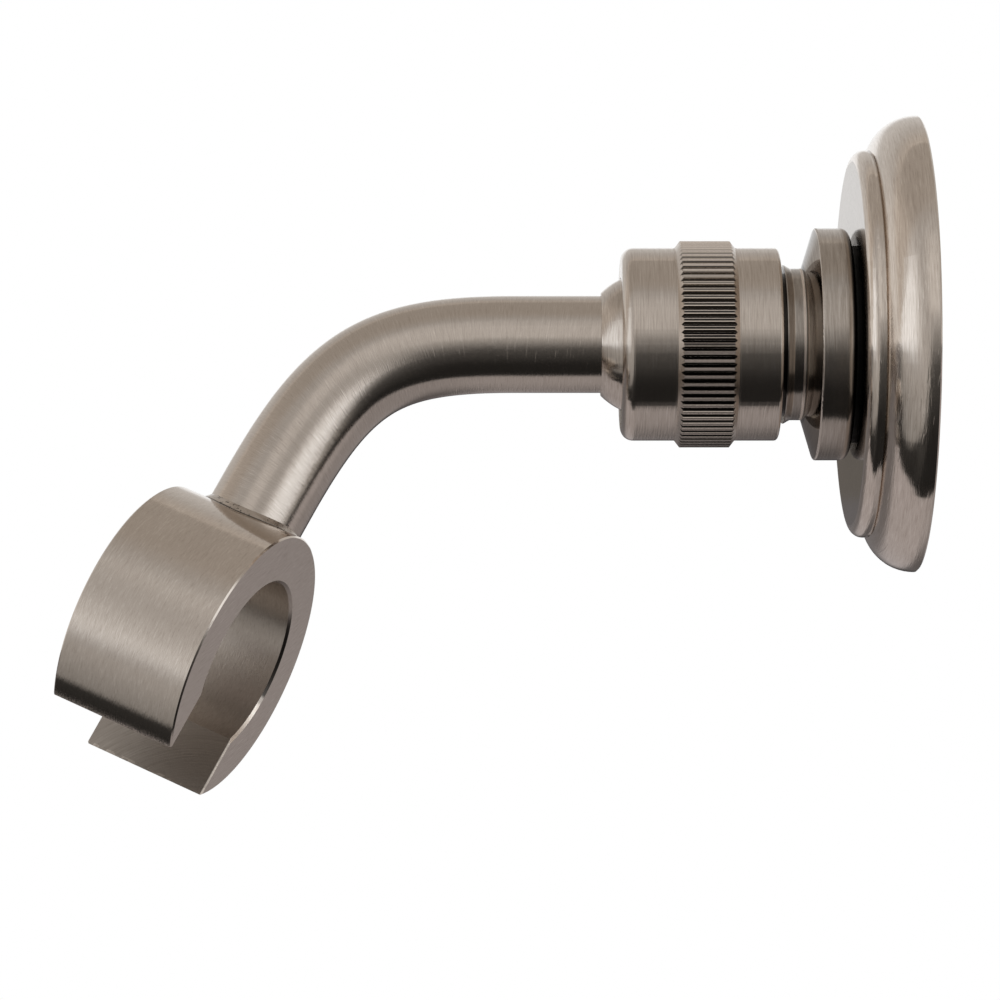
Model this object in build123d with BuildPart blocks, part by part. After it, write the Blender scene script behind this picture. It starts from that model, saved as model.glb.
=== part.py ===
from build123d import *
import math
import os

os.makedirs("parts", exist_ok=True)

# Hand shower holder: a wall flange, a ball joint held by a knurled nut, a bent arm and a split cradle.
# The wall is the plane Y = 0, the fitting's axis is the Y axis and the arm hangs in the plane X = 0.
# Places along the fitting are reaches, which are distances out from the wall.

# Fits shared by several pieces
thread_clearance = 0.05
ball_clearance = 0.05
seat_clearance = 0.05
braze_gap = 0.02

# Wall flange
flange_radius = 30.05
bead_radius = 6.3
bead_land = 0.3
rim_bevel = 0.2
shoulder_radius = 25.5
shoulder_round = 1.6
quirk_width = 0.42
quirk_depth = 0.25
face_reach = 8.6
flange_wall = 2.2
web_thickness = 2.4
stud_hole_gap = 0.3

# Mounting plate inside the flange
plate_gap = 3.3
plate_thickness = 2.5
plate_round = 0.4
boss_radius = 9.0
boss_floor = 1.0
screw_count = 3
screw_circle_radius = 15.0
screw_hole_radius = 2.25

# Gasket and post
gasket_radius = 13.0
gasket_thickness = 0.4
stud_radius = 5.0
stud_tip_gap = 0.3
stud_chamfer = 0.6
collar_radius = 15.3
collar_length = 4.4
collar_back_round = 1.1
collar_front_round = 0.3
cone_length = 1.65
neck_radius = 10.0
neck_length = 1.55
thread_crest_radius = 10.45
thread_runout = 0.8
relief_land = 0.15
relief_width = 1.05
relief_radius = 9.4
spigot_chamfer = 0.6
spigot_gap = 4.8

# Ball joint
ball_reach = 34.8
ball_radius = 9.55
ball_face_offset = 6.7
ball_bore_depth = 10.0
seat_cup_radius = 8.5
seat_rim_offset = 5.0
seat_floor = 1.0
seat_drain_radius = 3.0

# Union nut
nut_radius = 12.7
nut_length = 20.7
nut_front_offset = 4.1
nut_front_round = 1.65
nut_rear_round = 0.5
nut_mouth_chamfer = 0.4
lip_thickness = 1.5
lip_clearance = 0.15
seat_ring_length = 2.5
knurl_radius = 13.6
knurl_rear_offset = 5.7
knurl_length = 7.9
knurl_end_run = 0.7
knurl_count = 80
knurl_width = 0.62
knurl_depth = 0.5
knurl_turn = 2.45
knurl_overcut = 0.1

# Arm
tube_radius = 6.4
tube_wall = 1.2
bend_angle = 63.0
bend_corner_reach = 74.2
bend_lead_in = 21.3
bend_lead_out = 23.5
bend_fullness = 0.83
leg_length = 46.0
braze_leg = 0.75

# Cradle
cradle_radius = 18.0
cradle_bore_radius = 11.6
cradle_length = 17.3
cradle_offset = 0.2
cradle_slot_width = 18.2
cradle_roll = 8.5
cradle_bore_chamfer = 0.35
cradle_edge_bevel = 0.2

# Reaches that follow from the sizes above
gasket_back = face_reach
collar_back = gasket_back + gasket_thickness
collar_front = collar_back + collar_length
neck_back = collar_front + cone_length
thread_back = neck_back + neck_length
spigot_front = ball_reach - spigot_gap
ball_face = ball_reach + ball_face_offset
ball_bore_floor = ball_face - ball_bore_depth
nut_front = ball_reach + nut_front_offset
nut_rear = nut_front - nut_length
lip_back = nut_front - lip_thickness
seat_ring_back = lip_back - seat_ring_length
nut_bore_radius = thread_crest_radius + thread_clearance
web_back = face_reach - web_thickness


def at(radius, reach):
    """A point of a turned profile, drawn in the XY plane around the Y axis."""
    return (radius, -reach)


def soften(point, radius):
    """Rounds the corner of the sketch in hand that lies nearest to a point."""
    fillet(vertices().sort_by_distance(point)[0], radius)


def bevel(point, length):
    """Bevels the corner of the sketch in hand that lies nearest to a point."""
    chamfer(vertices().sort_by_distance(point)[0], length)


def sphere_radius_at(radius, reach):
    """The radius that a sphere around the ball's centre has at a reach."""
    return math.sqrt(radius**2 - (reach - ball_reach) ** 2)


def sphere_reach_behind(radius, from_axis):
    """The reach, behind the ball's centre, where such a sphere has a given radius."""
    return ball_reach - math.sqrt(radius**2 - from_axis**2)


# Wall flange: a hollow turning, with a bead at the rim, a small quirk and a rounded step to its flat face
bead_centre_radius = flange_radius - bead_radius
bead_sweep = math.degrees(math.acos((shoulder_radius - bead_centre_radius) / bead_radius))
quirk_back = bead_land + bead_radius * math.sin(math.radians(bead_sweep))
bead_inner_radius = bead_radius - flange_wall
cavity_radius = shoulder_radius - flange_wall
stud_hole_radius = stud_radius + stud_hole_gap

with BuildPart() as wall_flange:
    with BuildSketch(Plane.XY):
        with BuildLine():
            bead = CenterArc(at(bead_centre_radius, bead_land), bead_radius, 0, -bead_sweep)
            hollow = CenterArc(at(bead_centre_radius, bead_land), bead_inner_radius, 0, -90)
            Polyline(
                bead @ 1,
                at(shoulder_radius - quirk_depth, quirk_back),
                at(shoulder_radius - quirk_depth, quirk_back + quirk_width),
                at(shoulder_radius, quirk_back + quirk_width),
                at(shoulder_radius, face_reach),
                at(stud_hole_radius, face_reach),
                at(stud_hole_radius, web_back),
                at(cavity_radius, web_back),
                at(cavity_radius, bead_land + bead_inner_radius),
                hollow @ 1,
            )
            Polyline(
                hollow @ 0,
                at(bead_centre_radius + bead_inner_radius, 0),
                at(flange_radius, 0),
                bead @ 0,
            )
        make_face()
        soften(at(shoulder_radius, face_reach), shoulder_round)
        bevel(at(flange_radius, 0), rim_bevel)
    revolve(axis=Axis.Y)
wall_flange.part.label = "wall_flange"
export_step(wall_flange.part, "parts/wall_flange.step")

# Mounting plate: a screwed disc with a threaded boss that the flange's web is drawn against
plate_radius = cavity_radius - plate_gap

with BuildPart() as wall_plate:
    with BuildSketch(Plane.XY):
        with BuildLine():
            Polyline(
                at(0, 0),
                at(plate_radius, 0),
                at(plate_radius, plate_thickness),
                at(boss_radius, plate_thickness),
                at(boss_radius, web_back),
                at(stud_radius + thread_clearance, web_back),
                at(stud_radius + thread_clearance, boss_floor),
                at(0, boss_floor),
                close=True,
            )
        make_face()
        soften(at(plate_radius, plate_thickness), plate_round)
    revolve(axis=Axis.Y)
    with BuildSketch(Plane.XZ):
        with PolarLocations(screw_circle_radius, screw_count, start_angle=90):
            Circle(screw_hole_radius)
    extrude(amount=plate_thickness, mode=Mode.SUBTRACT)
wall_plate.part.label = "wall_plate"
export_step(wall_plate.part, "parts/wall_plate.step")

# Gasket under the collar
with BuildPart() as flange_gasket:
    with BuildSketch(Plane.XZ.offset(gasket_back)):
        Circle(gasket_radius)
        Circle(stud_hole_radius, mode=Mode.SUBTRACT)
    extrude(amount=gasket_thickness)
flange_gasket.part.label = "flange_gasket"
export_step(flange_gasket.part, "parts/flange_gasket.step")

# Post: one turning with a stud, a collar, a cone, a neck and the spigot that carries the nut
stud_back = boss_floor + stud_tip_gap
cup_floor = ball_reach - ball_radius - ball_clearance - seat_floor
relief_back = thread_back + thread_runout + relief_land

with BuildPart() as wall_post:
    with BuildSketch(Plane.XY):
        with BuildLine():
            Polyline(
                at(0, stud_back),
                at(stud_radius, stud_back),
                at(stud_radius, collar_back),
                at(collar_radius, collar_back),
                at(collar_radius, collar_front),
                at(neck_radius, neck_back),
                at(neck_radius, thread_back),
                at(thread_crest_radius, thread_back + thread_runout),
                at(thread_crest_radius, relief_back),
                at(relief_radius, relief_back),
                at(relief_radius, relief_back + relief_width),
                at(thread_crest_radius, relief_back + relief_width),
                at(thread_crest_radius, spigot_front),
                at(seat_cup_radius, spigot_front),
                at(seat_cup_radius, cup_floor),
                at(0, cup_floor),
                close=True,
            )
        make_face()
        bevel(at(stud_radius, stud_back), stud_chamfer)
        soften(at(collar_radius, collar_back), collar_back_round)
        soften(at(collar_radius, collar_front), collar_front_round)
        bevel(at(thread_crest_radius, spigot_front), spigot_chamfer)
    revolve(axis=Axis.Y)
wall_post.part.label = "wall_post"
export_step(wall_post.part, "parts/wall_post.step")

# Ball seat: a nylon cup in the spigot
seat_sphere = ball_radius + ball_clearance
seat_rim = ball_reach - seat_rim_offset
seat_outer_radius = seat_cup_radius - seat_clearance

with BuildPart() as ball_seat:
    with BuildSketch(Plane.XY):
        with BuildLine():
            cup = RadiusArc(
                at(seat_drain_radius, sphere_reach_behind(seat_sphere, seat_drain_radius)),
                at(sphere_radius_at(seat_sphere, seat_rim), seat_rim),
                seat_sphere,
            )
            Polyline(
                cup @ 1,
                at(seat_outer_radius, seat_rim),
                at(seat_outer_radius, cup_floor),
                at(seat_drain_radius, cup_floor),
                cup @ 0,
            )
        make_face()
    revolve(axis=Axis.Y)
ball_seat.part.label = "ball_seat"
export_step(ball_seat.part, "parts/ball_seat.step")

# Ball: turned, faced off in front and bored for the arm
tube_bore_radius = tube_radius + braze_gap

with BuildPart() as swivel_ball:
    with BuildSketch(Plane.XY):
        with BuildLine():
            back = at(0, ball_reach - ball_radius)
            side = at(ball_radius, ball_reach)
            rim = at(sphere_radius_at(ball_radius, ball_face), ball_face)
            ThreePointArc(back, side, rim)
            Polyline(
                rim,
                at(tube_bore_radius, ball_face),
                at(tube_bore_radius, ball_bore_floor),
                at(0, ball_bore_floor),
                back,
            )
        make_face()
    revolve(axis=Axis.Y)
swivel_ball.part.label = "swivel_ball"
export_step(swivel_ball.part, "parts/swivel_ball.step")

# Seat ring: nylon, between the nut's lip and the ball's front
ring_outer_radius = nut_bore_radius - thread_clearance

with BuildPart() as seat_ring:
    with BuildSketch(Plane.XY):
        with BuildLine():
            hold = RadiusArc(
                at(sphere_radius_at(seat_sphere, seat_ring_back), seat_ring_back),
                at(sphere_radius_at(seat_sphere, lip_back), lip_back),
                seat_sphere,
            )
            Polyline(
                hold @ 1,
                at(ring_outer_radius, lip_back),
                at(ring_outer_radius, seat_ring_back),
                hold @ 0,
            )
        make_face()
    revolve(axis=Axis.Y)
seat_ring.part.label = "seat_ring"
export_step(seat_ring.part, "parts/seat_ring.step")

# Union nut: turned, with a lip over the ball and a raised band of straight knurling
lip_sphere = ball_radius + lip_clearance
knurl_rear = nut_rear + knurl_rear_offset
knurl_front = knurl_rear + knurl_length
groove_mouth_radius = knurl_radius + knurl_overcut
groove_mouth_half = knurl_width / 2 * (knurl_depth + knurl_overcut) / knurl_depth

with BuildPart() as union_nut:
    with BuildSketch(Plane.XY):
        with BuildLine():
            lip = RadiusArc(
                at(sphere_radius_at(lip_sphere, lip_back), lip_back),
                at(sphere_radius_at(lip_sphere, nut_front), nut_front),
                lip_sphere,
            )
            Polyline(
                lip @ 1,
                at(nut_radius, nut_front),
                at(nut_radius, knurl_front),
                at(knurl_radius, knurl_front - knurl_end_run),
                at(knurl_radius, knurl_rear + knurl_end_run),
                at(nut_radius, knurl_rear),
                at(nut_radius, nut_rear),
                at(nut_bore_radius, nut_rear),
                at(nut_bore_radius, lip_back),
                lip @ 0,
            )
        make_face()
        soften(at(nut_radius, nut_front), nut_front_round)
        soften(at(nut_radius, nut_rear), nut_rear_round)
        bevel(at(nut_bore_radius, nut_rear), nut_mouth_chamfer)
    revolve(axis=Axis.Y)
    with BuildSketch(Plane.XZ.offset(knurl_rear)):
        with PolarLocations(0, knurl_count, start_angle=knurl_turn):
            Polygon(
                (knurl_radius - knurl_depth, 0),
                (groove_mouth_radius, -groove_mouth_half),
                (groove_mouth_radius, groove_mouth_half),
                align=None,
            )
    extrude(amount=knurl_length, mode=Mode.SUBTRACT)
union_nut.part.label = "union_nut"
export_step(union_nut.part, "parts/union_nut.step")

# Arm path: straight out of the ball, one long bend, then a straight leg that points at the cradle's centre
bend = math.radians(bend_angle)
leg_direction = Vector(0, -math.cos(bend), -math.sin(bend))
bend_corner = Vector(0, -bend_corner_reach, 0)
bend_start = bend_corner + Vector(0, bend_lead_in, 0)
bend_end = bend_corner + leg_direction * bend_lead_out
cradle_centre = bend_corner + leg_direction * leg_length

# Cradle frame: Z runs along the bore and X points from the centre out through the slot
roll = math.radians(cradle_roll)
bore_axis = Vector(
    math.sin(roll),
    math.cos(roll) * math.sin(bend),
    -math.cos(roll) * math.cos(bend),
)
cradle_middle = cradle_centre + bore_axis * cradle_offset
cradle_plane = Plane(origin=cradle_middle, x_dir=leg_direction, z_dir=bore_axis)
section_plane = Plane(origin=cradle_middle, x_dir=leg_direction, z_dir=leg_direction.cross(bore_axis))

# Arm tube: bent, then coped to the cradle's outside
with BuildPart() as arm_tube:
    with BuildLine() as arm_path:
        Line((0, -ball_bore_floor, 0), bend_start)
        Bezier(
            bend_start,
            bend_start + (bend_corner - bend_start) * bend_fullness,
            bend_end + (bend_corner - bend_end) * bend_fullness,
            bend_end,
        )
        Line(bend_end, cradle_centre)
    with BuildSketch(Plane.XZ.offset(ball_bore_floor)):
        Circle(tube_radius)
        Circle(tube_radius - tube_wall, mode=Mode.SUBTRACT)
    sweep(path=arm_path.line)
    with BuildSketch(cradle_plane.offset(-cradle_length / 2)):
        Circle(cradle_radius)
    extrude(amount=cradle_length, mode=Mode.SUBTRACT)
arm_tube.part.label = "arm_tube"
export_step(arm_tube.part, "parts/arm_tube.step")

# Braze around the arm's foot: the bead between the leg and the cradle, without either of them
leg_plane = Plane(origin=cradle_centre, x_dir=(1, 0, 0), z_dir=-leg_direction)
leg_stub_length = cradle_radius + tube_radius

with BuildPart() as braze_fillet:
    with BuildSketch(cradle_plane.offset(-cradle_length / 2)):
        Circle(cradle_radius)
    drum = extrude(amount=cradle_length)
    with BuildSketch(leg_plane):
        Circle(tube_radius)
    leg = extrude(amount=leg_stub_length)
    foot = edges(Select.LAST).filter_by(GeomType.CIRCLE, reverse=True).filter_by(GeomType.LINE, reverse=True)
    chamfer(foot, braze_leg)
    add(drum, mode=Mode.SUBTRACT)
    add(leg, mode=Mode.SUBTRACT)
braze_fillet.part.label = "braze_fillet"
export_step(braze_fillet.part, "parts/braze_fillet.step")

# Cradle: a thick ring, turned with a rounded rear rim, then cut through by a slot with parallel walls
half_length = cradle_length / 2

with BuildPart() as cradle_ring:
    with BuildSketch(section_plane):
        with BuildLine():
            Polyline(
                (cradle_bore_radius, -half_length),
                (cradle_radius, -half_length),
                (cradle_radius, half_length),
                (cradle_bore_radius, half_length),
                close=True,
            )
        make_face()
        bevel((cradle_bore_radius, -half_length), cradle_bore_chamfer)
        bevel((cradle_bore_radius, half_length), cradle_bore_chamfer)
        bevel((cradle_radius, half_length), cradle_edge_bevel)
        bevel((cradle_radius, -half_length), cradle_edge_bevel)
    revolve(axis=Axis(cradle_middle, bore_axis))
    with BuildSketch(cradle_plane.offset(-half_length)):
        with Locations((cradle_radius, 0)):
            Rectangle(2 * cradle_radius, cradle_slot_width)
    extrude(amount=cradle_length, mode=Mode.SUBTRACT)
cradle_ring.part.label = "cradle_ring"
export_step(cradle_ring.part, "parts/cradle_ring.step")
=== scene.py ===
import math

import bpy
from mathutils import Matrix, Vector

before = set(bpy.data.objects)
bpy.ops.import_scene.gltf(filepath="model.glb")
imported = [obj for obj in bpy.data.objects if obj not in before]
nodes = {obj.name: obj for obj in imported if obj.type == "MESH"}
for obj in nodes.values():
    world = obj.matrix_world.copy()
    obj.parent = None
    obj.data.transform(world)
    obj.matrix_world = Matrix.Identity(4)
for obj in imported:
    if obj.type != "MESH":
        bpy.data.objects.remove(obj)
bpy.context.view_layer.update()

# Camera basis: the picture looks across the wall's normal, from a little below the arm
TOWARD_CAMERA = Vector((0.94088, 0.0, -0.33874)).normalized()
PICTURE_UP = Vector((0.33874, 0.0, 0.94088)).normalized()
PICTURE_RIGHT = Vector((0.0, 1.0, 0.0))
AIM = Vector((-0.00695, -0.05478, -0.01932))
CAMERA_DISTANCE = 0.4778
SENSOR = 36.0
LENS = 130.3

# Arm and cradle, as the model has them, in metres
BEND = math.radians(63.0)
ROLL = math.radians(8.5)
BEND_CORNER = Vector((0.0, -0.0742, 0.0))
LEG = Vector((0.0, -math.cos(BEND), -math.sin(BEND)))
BORE = Vector((math.sin(ROLL), math.cos(ROLL) * math.sin(BEND), -math.cos(ROLL) * math.cos(BEND)))
LEG_LENGTH = 0.046
CRADLE_SHIFT = 0.0002
CRADLE_CENTRE = BEND_CORNER + LEG * LEG_LENGTH + BORE * CRADLE_SHIFT
# The middle of the arcs that the cutter left in the slot's walls
CUTTER = CRADLE_CENTRE + LEG * 0.026 + BORE * 0.012
FITTING_AXIS = Vector((0.0, 1.0, 0.0))
TUBE_BEND_RADIUS = 0.0395
SLOT_TOP = 0.0064

# Masks for single features are written in millimetres
TO_MM = 1000.0
CRADLE_RADIUS = 18.0
CRADLE_BORE_RADIUS = 11.6
CRADLE_HALF_LENGTH = 8.65
NUT_RADIUS = 12.7
KNURL_RADIUS = 13.6
KNURL_END_RUN = 0.7

KNURL_COUNT = 80
KNURL_TURN = math.radians(2.45)

# Stretches along the fitting's axis, in millimetres out from the wall
KNURL = (23.9, 31.8)
KNURL_TOP = (24.55, 31.15)
COLLAR = (8.9, 13.4)
COLLAR_BACK = (8.9, 10.2)
CONE = (13.3, 15.2)
CONE_CORNER = (14.9, 15.1)
NECK_GLINT = (15.1, 15.42)
NECK = (15.45, 19.0)
THREAD_EDGE = (16.5, 16.76)
THREAD_RELIEF = (17.5, 18.66)


class Graph:
    """Builds shader nodes from short calls. A number goes on a socket, and an output is linked to it."""

    def __init__(self, tree):
        self.tree = tree
        tree.nodes.clear()

    def put(self, socket, value):
        if isinstance(value, bpy.types.NodeSocket):
            self.tree.links.new(value, socket)
        else:
            socket.default_value = value

    def node(self, kind, inputs=(), **settings):
        made = self.tree.nodes.new(kind)
        for name, value in settings.items():
            setattr(made, name, value)
        for name, value in dict(inputs).items():
            self.put(made.inputs[name], value)
        return made

    def math(self, operation, *values):
        made = self.tree.nodes.new("ShaderNodeMath")
        made.operation = operation
        for socket, value in zip(made.inputs, values):
            self.put(socket, value)
        return made.outputs[0]

    def add(self, *values):
        total = values[0]
        for value in values[1:]:
            total = self.math("ADD", total, value)
        return total

    def times(self, *values):
        total = values[0]
        for value in values[1:]:
            total = self.math("MULTIPLY", total, value)
        return total

    def vector(self, operation, *values):
        made = self.tree.nodes.new("ShaderNodeVectorMath")
        made.operation = operation
        for socket, value in zip(made.inputs, values):
            self.put(socket, value)
        return made.outputs["Value"] if operation in ("DOT_PRODUCT", "LENGTH") else made.outputs["Vector"]

    def scale(self, vector, factor):
        made = self.node("ShaderNodeVectorMath", operation="SCALE")
        self.put(made.inputs[0], vector)
        self.put(made.inputs["Scale"], factor)
        return made.outputs["Vector"]

    def ramp(self, value, low, high, at_low=0.0, at_high=1.0, kind="SMOOTHSTEP"):
        """Goes from one value to another as a number rises from low to high."""
        made = self.node("ShaderNodeMapRange", interpolation_type=kind)
        for name, number in (
            ("Value", value),
            ("From Min", low),
            ("From Max", high),
            ("To Min", at_low),
            ("To Max", at_high),
        ):
            self.put(made.inputs[name], number)
        return made.outputs[0]

    def band(self, value, low, high, soft):
        """1 between low and high, and 0 outside them, with soft edges."""
        rise = self.ramp(value, low - soft / 2, low + soft / 2)
        fall = self.ramp(value, high - soft / 2, high + soft / 2, 1.0, 0.0)
        return self.times(rise, fall)

    def mix(self, factor, first, second):
        made = self.node("ShaderNodeMix", data_type="RGBA")
        self.put(made.inputs[0], factor)
        self.put(made.inputs[6], first)
        self.put(made.inputs[7], second)
        return made.outputs[2]

    def blend(self, factor, first, second):
        """The same for plain numbers."""
        made = self.node("ShaderNodeMix", data_type="FLOAT")
        self.put(made.inputs[0], factor)
        self.put(made.inputs[2], first)
        self.put(made.inputs[3], second)
        return made.outputs[0]

    def join(self, x, y, z):
        return self.node("ShaderNodeCombineXYZ", {"X": x, "Y": y, "Z": z}).outputs[0]

    def noise(self, vector, scale, detail=2.0, roughness=0.5, w=None):
        made = self.node("ShaderNodeTexNoise", noise_dimensions="3D" if w is None else "4D")
        self.put(made.inputs["Vector"], vector)
        self.put(made.inputs["Scale"], scale)
        self.put(made.inputs["Detail"], detail)
        self.put(made.inputs["Roughness"], roughness)
        if w is not None:
            self.put(made.inputs["W"], w)
        return made.outputs[0]

    def finish(self, shader, kind="ShaderNodeOutputMaterial"):
        """Links the last shader to the graph's output."""
        self.tree.links.new(shader.outputs[0], self.tree.nodes.new(kind).inputs[0])


def degrees(*values):
    return [math.radians(value) for value in values]


# What the light in each part of the studio is multiplied by
TENT_TINT = (1.04, 1.005, 0.965, 1)
ROOF_TINT = (1.065, 0.975, 0.88, 1)
TABLE_TINT = (1.05, 0.975, 0.97, 1)
PANEL_TINT = (0.98, 1.0, 1.02, 1)
WALL_FOOT_TINT = (1.12, 1.0, 0.88, 1)


def studio():
    """A soft tent with a panel to each side, a dark gap round the camera, a pale table and a white wall."""
    world = bpy.data.worlds.new("studio")
    bpy.context.scene.world = world
    world.use_nodes = True
    g = Graph(world.node_tree)
    ray = g.node("ShaderNodeTexCoord").outputs["Generated"]
    right = g.vector("DOT_PRODUCT", ray, PICTURE_RIGHT)
    down = g.vector("DOT_PRODUCT", ray, -PICTURE_UP)
    front = g.vector("DOT_PRODUCT", ray, TOWARD_CAMERA)
    # turn: 0 toward the camera, a quarter down to the table, a quarter up to the tent. side: out to the right
    turn = g.math("ARCTAN2", down, front)
    side = g.math("ARCSINE", right)

    def window(value, low, high, soft_low, soft_high):
        """1 between two angles in degrees, and 0 outside them, with an edge of its own softness at each."""
        rise = g.ramp(value, *degrees(low - soft_low / 2, low + soft_low / 2))
        fall = g.ramp(value, *degrees(high - soft_high / 2, high + soft_high / 2), 1.0, 0.0)
        return g.times(rise, fall)

    # Tent: even overhead, lighter behind, with a strip above the camera
    tent = g.ramp(turn, *degrees(-84, -46), 0.395, 0.49)
    # The tent's roof ends in a hem, and the cloth behind it is lighter
    hem = -118
    behind_hem = g.ramp(turn, *degrees(hem - 0.6, hem + 0.6), 0.11, 0.0)
    seam = window(turn, hem - 1.5, hem + 0.3, 0.8, 0.8)
    tent = g.add(tent, behind_hem, g.times(seam, 0.06))
    tent = g.add(tent, g.ramp(turn, *degrees(-152, -128), 0.1, 0.0))
    strip = g.times(window(turn, -54, -13, 26, 10), window(side, -18, 5, 14, 10))
    left_behind = g.times(g.ramp(side, *degrees(-34, -56), 0.0, 1.0), g.ramp(turn, *degrees(-60, -80)))
    left_panel = g.times(window(turn, -61, 15, 44, 26), window(side, -100, -42, 4, 30))
    right_panel = g.times(window(turn, -45, 14, 34, 34), window(side, 32, 100, 24, 4))
    upper = g.add(
        tent,
        g.times(strip, 0.19),
        g.times(left_behind, 0.15),
        g.times(left_panel, 0.61),
        g.times(right_panel, 0.70),
    )
    # The dark gap round the camera starts later to the left, and later still far to the right
    near_left = g.ramp(side, *degrees(-10, -24))
    far_left = g.ramp(side, *degrees(-22, -72), kind="LINEAR")
    near_right = g.ramp(side, *degrees(8, 24))
    far_right = g.ramp(side, *degrees(54, 88))
    start = g.add(
        math.radians(-5),
        g.ramp(side, *degrees(2, 5), 0.0, math.radians(-3)),
        g.times(near_left, math.radians(49)),
        g.times(far_left, math.radians(48)),
        g.times(near_right, math.radians(16)),
        g.times(far_right, math.radians(50)),
    )
    # To the left the light fades before its sharp lower edge
    fading = g.ramp(turn, *degrees(4, 78), 0.52, 0.24, kind="LINEAR")
    left_low = g.times(g.ramp(side, *degrees(-13, -34)), g.ramp(turn, *degrees(-6, 24)))
    upper = g.blend(left_low, upper, fading)
    gone = g.math("SUBTRACT", turn, start)
    soft = g.ramp(side, *degrees(-14, -26), 1.0, 0.3)
    dark = g.ramp(gone, g.times(soft, math.radians(-12)), g.times(soft, math.radians(22)))
    gap_level = g.times(g.ramp(gone, *degrees(0, 60), 0.1, 0.02), g.ramp(side, *degrees(-14, -34), 1.0, 0.35))
    level = g.blend(dark, upper, gap_level)
    # The table, with its far edge, is darker right under the fitting and fades behind it
    table_edge = g.add(
        math.radians(80),
        g.ramp(side, *degrees(10, -12), 0.0, math.radians(7)),
        g.ramp(side, *degrees(-32, -80), 0.0, math.radians(36)),
        g.ramp(side, *degrees(54, 74), 0.0, math.radians(16)),
    )
    table = g.ramp(g.math("SUBTRACT", turn, table_edge), *degrees(-2, 2))
    table_level = g.add(g.ramp(side, *degrees(12, -6), 0.33, 0.44), g.ramp(side, *degrees(56, 72), 0.0, 0.12))
    dip = g.times(window(side, 1, 16, 5, 12), g.ramp(turn, *degrees(98, 146)), 0.66)
    lean = g.math("MAXIMUM", g.add(g.times(side, -0.75), math.radians(-6)), 0.0)
    fall = g.ramp(g.add(turn, lean), *degrees(160, 173), 1.0, 0.4)
    table_level = g.times(table_level, fall, g.math("SUBTRACT", 1.0, dip))
    level = g.blend(table, level, table_level)
    # White wall behind and above, and nothing lit right below its foot
    behind = g.ramp(turn, *degrees(-178.5, -177.3))
    level = g.blend(behind, 0.15, level)
    wall_turn = g.times(g.ramp(turn, *degrees(-166, -156), 1.0, 0.0), behind)
    wall = g.times(wall_turn, window(side, -16, 30, 10, 10))
    overhead = window(turn, -128, -68, 24, 24)
    warm = g.mix(overhead, TENT_TINT, ROOF_TINT)
    warm = g.mix(table, warm, TABLE_TINT)
    cool = g.math("MAXIMUM", left_panel, right_panel)
    tint = g.mix(cool, warm, PANEL_TINT)
    tint = g.mix(behind, WALL_FOOT_TINT, tint)
    surround = g.scale(tint, level)
    path = g.node("ShaderNodeLightPath")
    shiny = g.add(path.outputs["Is Glossy Ray"], path.outputs["Is Transmission Ray"])
    seen = g.add(path.outputs["Is Camera Ray"], g.times(shiny, wall))
    colour = g.mix(g.math("MINIMUM", seen, 1.0), surround, (1.0, 1.0, 1.0, 1))
    light = g.node("ShaderNodeBackground", {"Color": colour, "Strength": 1.0})
    g.finish(light, "ShaderNodeOutputWorld")


def floor():
    """A pale floor well below the wall piece, seen by the camera alone."""
    mesh = bpy.data.meshes.new("pale_floor")
    reach, drop = 2.0, -0.9
    corners = [(-reach, -reach, drop), (reach, -reach, drop), (reach, reach, drop), (-reach, reach, drop)]
    mesh.from_pydata(corners, [], [(0, 1, 2, 3)])
    ground = bpy.data.objects.new("pale_floor", mesh)
    bpy.context.scene.collection.objects.link(ground)
    material = bpy.data.materials.new("pale_floor")
    material.use_nodes = True
    g = Graph(material.node_tree)
    paint = g.node("ShaderNodeBsdfDiffuse", {"Color": (0.92, 0.92, 0.92, 1)})
    glow = g.node("ShaderNodeEmission", {"Color": (1.0, 1.0, 1.0, 1), "Strength": 1.0})
    seen = g.node("ShaderNodeLightPath").outputs["Is Camera Ray"]
    g.finish(g.node("ShaderNodeMixShader", {0: seen, 1: paint.outputs[0], 2: glow.outputs[0]}))
    mesh.materials.append(material)
    ground.visible_glossy = False
    ground.visible_diffuse = False


NICKEL = (0.615, 0.55, 0.492, 1)
NICKEL_LIGHT = (0.70, 0.635, 0.575, 1)
NICKEL_DEEP = (0.52, 0.458, 0.404, 1)
# The plain materials, each from its darkest grain to its lightest
RUBBER = ((0.008, 0.008, 0.008, 1), (0.02, 0.02, 0.02, 1))
NYLON = ((0.78, 0.77, 0.72, 1), (0.86, 0.85, 0.8, 1))
ZINC = ((0.5, 0.51, 0.53, 1), (0.62, 0.63, 0.65, 1))
# How finely the scratches lie side by side
GRAIN = 5200.0
# How deep a relief of 1 is, in metres
SATIN_RELIEF = 0.00004
BRAZE_RELIEF = 0.00012
PLAIN_RELIEF = 0.00005


def new_material(name):
    material = bpy.data.materials.new(name)
    material.use_nodes = True
    return material, Graph(material.node_tree)


def place(g):
    return g.node("ShaderNodeTexCoord").outputs["Object"]


def facing(g):
    return g.node("ShaderNodeTexCoord").outputs["Normal"]


def to_world(g, vector):
    return g.node(
        "ShaderNodeVectorTransform",
        {"Vector": vector},
        vector_type="VECTOR",
        convert_from="OBJECT",
        convert_to="WORLD",
    ).outputs[0]


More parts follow.
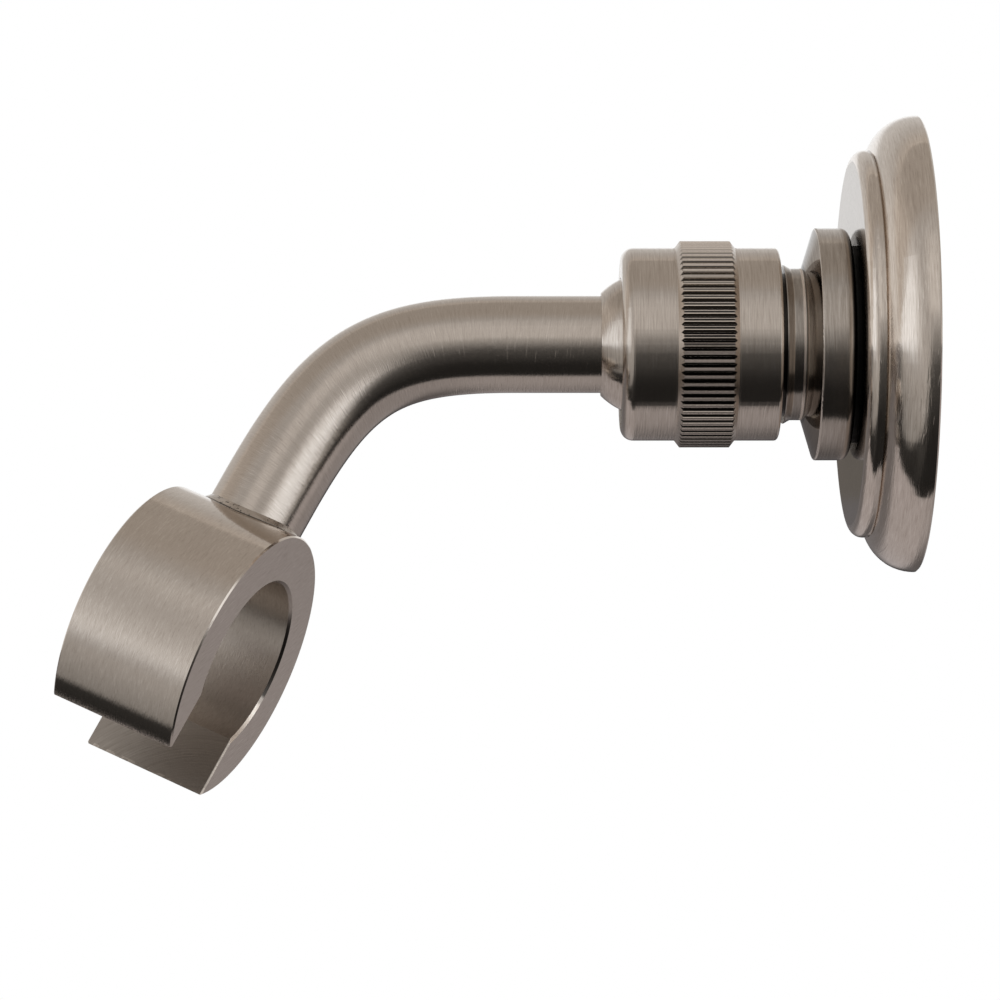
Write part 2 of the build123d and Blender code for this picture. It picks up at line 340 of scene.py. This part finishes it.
def satin(
    g,
    scratch,
    direction,
    roughness=0.2,
    spread=0.08,
    anisotropy=0.7,
    contrast=1.0,
    bump=0.5,
    shade=1.0,
    edge=1.0,
    depth=1.0,
    extra_relief=None,
):
    """A plated surface: scratches in its colour, its roughness and its relief, with a shade over it."""
    cloud = g.noise(place(g), 160.0, detail=3.0)
    tone = g.add(g.times(scratch, 0.82), g.times(cloud, 0.18))
    tone = g.add(g.times(g.add(tone, -0.5), contrast), 0.5)
    colour = g.mix(g.ramp(tone, 0.3, 0.5), NICKEL_DEEP, NICKEL)
    colour = g.mix(g.ramp(tone, 0.5, 0.7), colour, NICKEL_LIGHT)
    colour = g.scale(colour, shade)
    half = spread / 2
    dull = g.add(roughness, g.ramp(tone, 0.3, 0.7, half, -half, kind="LINEAR"))
    height = g.times(scratch, depth)
    if extra_relief is not None:
        height = g.add(height, extra_relief)
    relief = g.node("ShaderNodeBump", {"Strength": bump, "Distance": SATIN_RELIEF, "Height": height})
    # A plain number goes on the shader's own socket
    rim = (edge, edge, edge, 1.0)
    if isinstance(edge, bpy.types.NodeSocket):
        rim = g.join(edge, edge, edge)
    metal = g.node(
        "ShaderNodeBsdfPrincipled",
        {
            "Base Color": colour,
            "Metallic": 1.0,
            "Roughness": dull,
            "Specular Tint": rim,
            "Anisotropic": anisotropy,
            "Anisotropic Rotation": 0.25,
            "Tangent": to_world(g, direction),
            "Normal": relief.outputs[0],
        },
    )
    g.finish(metal)


def around(g, spot, axis, centre, fine, turns):
    """Scratches that run round an axis, with the direction that they run in, the heading and the radius."""
    from_centre = g.vector("SUBTRACT", spot, centre)
    along = g.vector("DOT_PRODUCT", from_centre, axis)
    out_vector = g.vector("SUBTRACT", from_centre, g.scale(axis, along))
    radius = g.vector("LENGTH", out_vector)
    heading = g.vector("NORMALIZE", out_vector)
    parts = g.node("ShaderNodeSeparateXYZ", {"Vector": heading})
    grain = g.join(g.times(along, fine), g.times(radius, fine), g.times(parts.outputs[0], turns))
    around_it = g.add(g.times(parts.outputs[2], turns), g.times(parts.outputs[1], turns * 0.7))
    scratch = g.noise(grain, 1.0, detail=3.0, roughness=0.62, w=around_it)
    direction = g.vector("CROSS_PRODUCT", axis, heading)
    return scratch, direction, heading, radius


class Turning:
    """What a turned piece's material needs: reach and radius in millimetres, and how its surface faces."""

    def __init__(self, name, turns):
        self.material, g = new_material(name)
        self.g = g
        spot = place(g)
        wall = Vector((0, 0, 0))
        self.scratch, self.direction, self.heading, radius = around(g, spot, FITTING_AXIS, wall, GRAIN, turns)
        self.radius = g.times(radius, TO_MM)
        self.reach = g.times(g.vector("DOT_PRODUCT", spot, FITTING_AXIS), -TO_MM)
        normal = facing(g)
        self.to_wall = g.vector("DOT_PRODUCT", normal, FITTING_AXIS)
        self.lean = g.vector("DOT_PRODUCT", normal, self.direction)

    def between(self, low, high, soft=0.06):
        return self.g.band(self.reach, low, high, soft)

    def shaded(self, *pairs):
        """Multiplies together a shade for each mask."""
        total = 1.0
        for mask, level in pairs:
            total = self.g.times(total, self.g.ramp(mask, 0.0, 1.0, 1.0, level, kind="LINEAR"))
        return total


def flange_nickel():
    t = Turning("satin_nickel_flange", turns=11.0)
    g = t.g
    face = g.ramp(g.times(t.to_wall, -1.0), 0.985, 0.997)
    # Painted shade: the flat face is darkened round the collar, where the collar shades it
    hub = g.times(face, g.ramp(t.radius, 13.6, 18.6, 1.0, 0.0))
    roughness = g.blend(face, 0.115, 0.075)
    shade = g.times(t.shaded((hub, 0.88), (face, 0.97)), 1.12)
    # A few deeper scratches, a little across the brushing
    parts = g.node("ShaderNodeSeparateXYZ", {"Vector": t.heading})
    crossing = g.add(t.reach, g.times(parts.outputs[0], 2.2), g.times(parts.outputs[2], 1.1))
    sparse = g.join(g.times(crossing, 2.6), g.times(t.radius, 0.5), g.times(parts.outputs[2], 9.0))
    marks = g.ramp(g.noise(sparse, 1.0, detail=1.0), 0.62, 0.7)
    satin(
        g,
        t.scratch,
        t.direction,
        roughness=roughness,
        spread=0.05,
        anisotropy=g.blend(face, 0.6, 0.1),
        contrast=1.25,
        bump=g.blend(face, 0.42, 0.1),
        shade=shade,
        edge=g.blend(face, 1.0, 0.72),
        extra_relief=g.times(marks, g.ramp(face, 0.0, 1.0, 0.45, 0.0)),
    )
    return t.material


def post_nickel():
    t = Turning("satin_nickel_post", turns=4.0)
    g = t.g
    cone = g.times(g.ramp(g.times(t.to_wall, -1.0), 0.9, 0.94), t.between(*CONE))
    # Painted shade: the neck is darkened where the nut and the flange shade it
    neck_painted_shade = t.between(*NECK)
    # Painted shade: the thread relief under the nut's edge is made nearly black
    relief = g.times(t.between(*THREAD_RELIEF, 0.04), g.ramp(t.radius, 10.2, 10.3, 1.0, 0.0))
    # Painted highlight: a thin lighter line at the thread's edge
    painted_thread_edge_highlight = t.between(*THREAD_EDGE, 0.12)
    # Painted shade in the corner where the neck meets the cone, and beside it a painted highlight: a thin
    # band lighter and rougher, as a small fillet would catch the light, though the model has no fillet there
    corner_painted_shade = t.between(*CONE_CORNER)
    painted_neck_glint = t.between(*NECK_GLINT, 0.08)
    # Painted shade: the collar's back face is made nearly black in the gap against the flange
    collar_back_painted_shade = g.times(g.ramp(t.to_wall, 0.25, 0.6), t.between(*COLLAR_BACK))
    shade = t.shaded(
        (neck_painted_shade, 0.58),
        (relief, 0.1),
        (painted_thread_edge_highlight, 1.35),
        (corner_painted_shade, 0.4),
        (painted_neck_glint, 1.4),
        (collar_back_painted_shade, 0.05),
        (t.between(*COLLAR), 0.8),
    )
    satin(
        g,
        t.scratch,
        t.direction,
        roughness=g.blend(painted_neck_glint, g.blend(cone, 0.17, 0.07), 0.5),
        spread=0.05,
        anisotropy=g.blend(cone, 0.65, 0.1),
        contrast=1.5,
        bump=g.blend(cone, 0.6, 0.12),
        shade=shade,
        edge=g.blend(cone, 1.0, 0.55),
    )
    return t.material


def nut_nickel():
    t = Turning("satin_nickel_nut", turns=3.0)
    g = t.g
    back, front = KNURL
    knurl = t.between(back - 0.2, front + 0.2, 0.02)
    # How deep a place lies in a groove, below the band's flat top or its sloping ends
    to_end = g.math("MINIMUM", g.add(t.reach, -back), g.add(g.times(t.reach, -1.0), front))
    end_slope = (KNURL_RADIUS - NUT_RADIUS) / KNURL_END_RUN
    land = g.math("MINIMUM", KNURL_RADIUS, g.add(g.times(to_end, end_slope), NUT_RADIUS))
    in_groove = g.times(g.ramp(g.math("SUBTRACT", land, t.radius), 0.02, 0.08), knurl)
    # Painted shade: one flank of each groove is darkened where shade falls in it, and the other picks up what
    # light there is
    groove_flank_painted_shade = g.times(in_groove, g.ramp(t.lean, -0.3, -0.6))
    # Across a land, from 0.3 at its one edge to 0.7 at the other: the roller left its middle leaning
    parts = g.node("ShaderNodeSeparateXYZ", {"Vector": t.heading})
    round_it = g.math("ARCTAN2", parts.outputs[2], parts.outputs[0])
    pitches = g.times(g.add(round_it, -KNURL_TURN), KNURL_COUNT / math.tau)
    across = g.math("FRACT", g.add(pitches, float(KNURL_COUNT)))
    top = g.times(knurl, g.ramp(in_groove, 0.0, 0.3, 1.0, 0.0))
    flat = t.between(*KNURL_TOP, 0.1)
    leaning = g.times(flat, g.ramp(across, 0.38, 0.66, 0.0, 7.4, kind="LINEAR"))
    # Painted highlight: the edges of the lands' flat tops are lighter, as glints
    edges = g.times(top, flat, g.ramp(g.math("ABSOLUTE", g.add(across, -0.5)), 0.09, 0.14))
    # Painted shade on the nut's rear face, which faces the wall
    rear_face_painted_shade = g.ramp(t.to_wall, 0.85, 0.95)
    shade = t.shaded((groove_flank_painted_shade, 0.05), (rear_face_painted_shade, 0.5), (edges, 1.5))
    # Polishing left the smooth bands a little faceted
    heading = g.scale(t.heading, 9.0)
    facets = g.times(g.noise(heading, 1.0, detail=2.0), g.ramp(knurl, 0.0, 1.0, 0.8, 0.0))
    satin(
        g,
        t.scratch,
        t.direction,
        roughness=g.blend(g.math("MAXIMUM", groove_flank_painted_shade, top), 0.17, 0.26),
        spread=0.07,
        anisotropy=g.blend(knurl, 0.7, 0.0),
        contrast=g.blend(knurl, 1.2, 0.4),
        bump=0.8,
        depth=g.blend(knurl, 0.7, 0.08),
        shade=shade,
        extra_relief=g.add(facets, leaning),
    )
    return t.material


def ball_nickel():
    t = Turning("satin_nickel_ball", turns=4.0)
    satin(t.g, t.scratch, t.direction, roughness=0.14, spread=0.05, contrast=1.4, bump=0.5, shade=0.95)
    return t.material


def arm_nickel():
    """Brushing that runs round the tube, also through its bend and down its leg."""
    material, g = new_material("satin_nickel_arm")
    spot = place(g)
    # The bend is followed as an arc: how far it has turned gives the tube's direction at each place
    reach = TUBE_BEND_RADIUS
    hub = BEND_CORNER + Vector((0, reach * math.tan(BEND / 2), -reach))
    from_hub = g.vector("SUBTRACT", spot, hub)
    parts = g.node("ShaderNodeSeparateXYZ", {"Vector": from_hub})
    swing = g.math("ARCTAN2", g.times(parts.outputs[1], -1.0), parts.outputs[2])
    turned = g.math("MINIMUM", g.math("MAXIMUM", swing, 0.0), BEND)
    axis = g.join(0.0, g.times(g.math("COSINE", turned), -1.0), g.times(g.math("SINE", turned), -1.0))
    # Length along the tube: straight part, arc, then the leg
    straight = g.math("MAXIMUM", g.vector("DOT_PRODUCT", from_hub, Vector((0, 1, 0))), 0.0)
    leg_start = hub + Vector((0, -math.sin(BEND), math.cos(BEND))) * reach
    down_leg = g.math("MAXIMUM", g.vector("DOT_PRODUCT", g.vector("SUBTRACT", spot, leg_start), LEG), 0.0)
    length = g.add(g.times(turned, reach), down_leg, g.times(straight, -1.0))
    ring_up = g.join(0.0, g.times(g.math("SINE", turned), -1.0), g.math("COSINE", turned))
    above = g.math("SUBTRACT", g.vector("DOT_PRODUCT", from_hub, ring_up), reach)
    across = parts.outputs[0]
    # The scratches lean a little, as a belt leaves them
    lean = g.add(length, g.times(above, 0.12))

    def streaks(fine, coarse):
        return g.join(g.times(lean, fine), g.times(across, coarse), g.times(above, coarse))

    scratch = g.noise(streaks(6600.0, 560.0), 1.0, detail=3.0, roughness=0.62)
    marks = g.ramp(g.noise(streaks(3600.0, 330.0), 1.0, detail=1.0), 0.6, 0.72)
    heading = g.vector("NORMALIZE", g.vector("ADD", g.scale(ring_up, above), g.join(across, 0.0, 0.0)))
    direction = g.vector("CROSS_PRODUCT", axis, heading)
    satin(g, scratch, direction, roughness=0.18, contrast=0.75, bump=0.34, extra_relief=g.times(marks, 0.5))
    return material


def cradle_nickel():
    """Brushed round its outside, satin in its bore, brushed straight on its ends and milled in its slot."""
    material, g = new_material("satin_nickel_cradle")
    spot = place(g)
    from_centre = g.vector("SUBTRACT", spot, CRADLE_CENTRE)
    scratch, direction, heading, radius = around(g, spot, BORE, CRADLE_CENTRE, GRAIN, 14.0)
    normal = facing(g)
    slope = g.vector("DOT_PRODUCT", normal, BORE)
    flat = g.ramp(g.math("ABSOLUTE", slope), 0.9, 0.97)
    bore = g.ramp(g.vector("DOT_PRODUCT", normal, heading), -0.6, -0.3, 1.0, 0.0)
    cut_across = BORE.cross(LEG).normalized()
    toward_slot = g.vector("DOT_PRODUCT", from_centre, LEG)
    cut = g.times(
        g.ramp(g.math("ABSOLUTE", g.vector("DOT_PRODUCT", normal, cut_across)), 0.95, 0.99),
        g.math("GREATER_THAN", toward_slot, SLOT_TOP),
    )
    sweep = (LEG + Vector((1, 0, 0)) * 0.8).normalized()
    across = sweep.cross(BORE).normalized()
    straight = g.join(
        g.times(g.vector("DOT_PRODUCT", spot, across), 5600.0),
        g.times(g.vector("DOT_PRODUCT", spot, sweep), 520.0),
        0.0,
    )
    brushed = g.noise(straight, 1.0, detail=3.0, roughness=0.6)
    # The cutter left wide arcs in the slot's walls
    arc = g.vector("LENGTH", g.vector("SUBTRACT", spot, CUTTER))
    arcs = g.join(g.times(arc, 3600.0), g.times(toward_slot, 160.0), 0.0)
    milled = g.noise(arcs, 1.0, detail=3.0, roughness=0.7)
    scratch = g.blend(flat, scratch, brushed)
    scratch = g.blend(cut, scratch, milled)
    pick = g.node("ShaderNodeMix", data_type="VECTOR")
    g.put(pick.inputs[0], flat)
    g.put(pick.inputs[4], direction)
    g.put(pick.inputs[5], sweep)
    # Burrs with a painted highlight: lighter and rougher on the slot's walls along the front end, and round
    # the bore's lower front rim
    along = g.times(g.vector("DOT_PRODUCT", from_centre, BORE), TO_MM)
    out_by = g.times(radius, TO_MM)
    end = CRADLE_HALF_LENGTH
    patchy = g.ramp(g.noise(spot, 900.0, detail=2.0), 0.4, 0.55)
    front = g.times(cut, g.ramp(along, end - 0.29, end - 0.21), g.ramp(patchy, 0.0, 1.0, 0.6, 1.0))
    outermost = g.ramp(out_by, CRADLE_RADIUS - 0.4, CRADLE_RADIUS - 0.3)
    spots = g.times(cut, outermost, g.ramp(patchy, 0.7, 1.0, 0.0, 0.5))
    beside_bore = g.ramp(out_by, CRADLE_BORE_RADIUS + 0.6, CRADLE_BORE_RADIUS + 0.5)
    chamfer = g.times(g.ramp(slope, 0.3, 0.4), g.ramp(slope, 0.8, 0.9, 1.0, 0.0), beside_bore)
    low_rim = g.times(chamfer, g.ramp(toward_slot, 0.0002, 0.0014))
    # Painted shade: above the burr the far side of that rim is darkened
    away = g.vector("DOT_PRODUCT", from_centre, cut_across)
    far_rim_painted_shade = g.times(chamfer, g.ramp(away, 0.004, 0.008), g.ramp(toward_slot, -0.0008, 0.0002, 1.0, 0.0))
    burr_and_painted_glint = g.math("MAXIMUM", g.math("MAXIMUM", front, spots), low_rim)
    roughness = g.blend(bore, g.blend(flat, 0.11, 0.17), 0.32)
    roughness = g.blend(cut, roughness, 0.34)
    roughness = g.blend(burr_and_painted_glint, roughness, 0.36)
    anisotropy = g.times(g.math("SUBTRACT", 1.0, bore), g.blend(cut, 0.7, 0.2))
    shade = g.times(
        g.ramp(cut, 0.0, 1.0, 1.06, 0.76),
        g.ramp(bore, 0.0, 1.0, 1.0, 0.82),
        g.ramp(burr_and_painted_glint, 0.0, 1.0, 1.0, 1.8),
        g.ramp(far_rim_painted_shade, 0.0, 1.0, 1.0, 0.2),
    )
    rolled = g.times(cut, g.ramp(along, end - 0.3, end, 0.0, -9.0, kind="LINEAR"))
    satin(
        g,
        scratch,
        pick.outputs[1],
        roughness=roughness,
        anisotropy=anisotropy,
        contrast=g.blend(cut, 0.95, 1.2),
        bump=g.blend(cut, 0.42, 0.55),
        shade=shade,
        extra_relief=rolled,
    )
    return material


def braze_nickel():
    """Braze as it set: a little lumpy, polished on its crests, with a few dark pits."""
    material, g = new_material("braze_nickel")
    spot = place(g)
    lumps = g.noise(spot, 420.0, detail=2.0)
    pits = g.ramp(g.noise(spot, 2600.0, detail=1.0), 0.64, 0.7, 1.0, 0.25)
    # A fine crack runs where the braze meets the ring
    from_centre = g.vector("SUBTRACT", spot, CRADLE_CENTRE)
    along = g.vector("DOT_PRODUCT", from_centre, BORE)
    radius = g.vector("LENGTH", g.vector("SUBTRACT", from_centre, g.scale(BORE, along)))
    off_ring = g.add(g.times(radius, TO_MM), g.times(lumps, -0.2))
    crack = g.ramp(off_ring, CRADLE_RADIUS - 0.06, CRADLE_RADIUS - 0.02, 0.2, 1.0)
    colour = g.scale(g.mix(g.ramp(lumps, 0.35, 0.6), NICKEL_DEEP, NICKEL), g.times(pits, crack, 0.92))
    height = g.add(g.times(lumps, 1.6), g.times(pits, 0.25), g.times(crack, 0.5))
    relief = g.node("ShaderNodeBump", {"Strength": 0.7, "Distance": BRAZE_RELIEF, "Height": height})
    body = g.node(
        "ShaderNodeBsdfPrincipled",
        {
            "Base Color": colour,
            "Metallic": 1.0,
            "Roughness": g.ramp(lumps, 0.35, 0.6, 0.3, 0.18),
            "Normal": relief.outputs[0],
        },
    )
    g.finish(body)
    return material


def plain_material(name, dark, light, roughness, metallic=0.0, scale=900.0):
    """One fine grain in colour, roughness and relief, for the pieces that aren't nickel."""
    material, g = new_material(name)
    grain = g.noise(place(g), scale, detail=4.0)
    relief = g.node("ShaderNodeBump", {"Strength": 0.1, "Distance": PLAIN_RELIEF, "Height": grain})
    body = g.node(
        "ShaderNodeBsdfPrincipled",
        {
            "Base Color": g.mix(g.ramp(grain, 0.3, 0.7), dark, light),
            "Metallic": metallic,
            "Roughness": g.ramp(grain, 0.3, 0.7, roughness - 0.06, roughness + 0.06),
            "Normal": relief.outputs[0],
        },
    )
    g.finish(body)
    return material


def dress(name, material):
    piece = nodes[name]
    piece.data.materials.clear()
    piece.data.materials.append(material)


dress("wall_flange", flange_nickel())
dress("wall_post", post_nickel())
dress("union_nut", nut_nickel())
dress("swivel_ball", ball_nickel())
dress("arm_tube", arm_nickel())
dress("cradle_ring", cradle_nickel())
dress("braze_fillet", braze_nickel())
dress("flange_gasket", plain_material("black_rubber", *RUBBER, 0.6))
nylon = plain_material("white_nylon", *NYLON, 0.5)
dress("ball_seat", nylon)
dress("seat_ring", nylon)
dress("wall_plate", plain_material("zinc_steel", *ZINC, 0.42, metallic=1.0, scale=500.0))

studio()
floor()

camera_data = bpy.data.cameras.new("camera")
camera_data.sensor_width = SENSOR
camera_data.lens = LENS
camera = bpy.data.objects.new("camera", camera_data)
bpy.context.scene.collection.objects.link(camera)
facing_object = Matrix((PICTURE_RIGHT, PICTURE_UP, TOWARD_CAMERA)).transposed()
camera.matrix_world = Matrix.Translation(AIM + TOWARD_CAMERA * CAMERA_DISTANCE) @ facing_object.to_4x4()
camera_data.clip_start, camera_data.clip_end = 0.01, 20.0
bpy.context.scene.camera = camera
bpy.context.scene.view_settings.view_transform = "Standard"
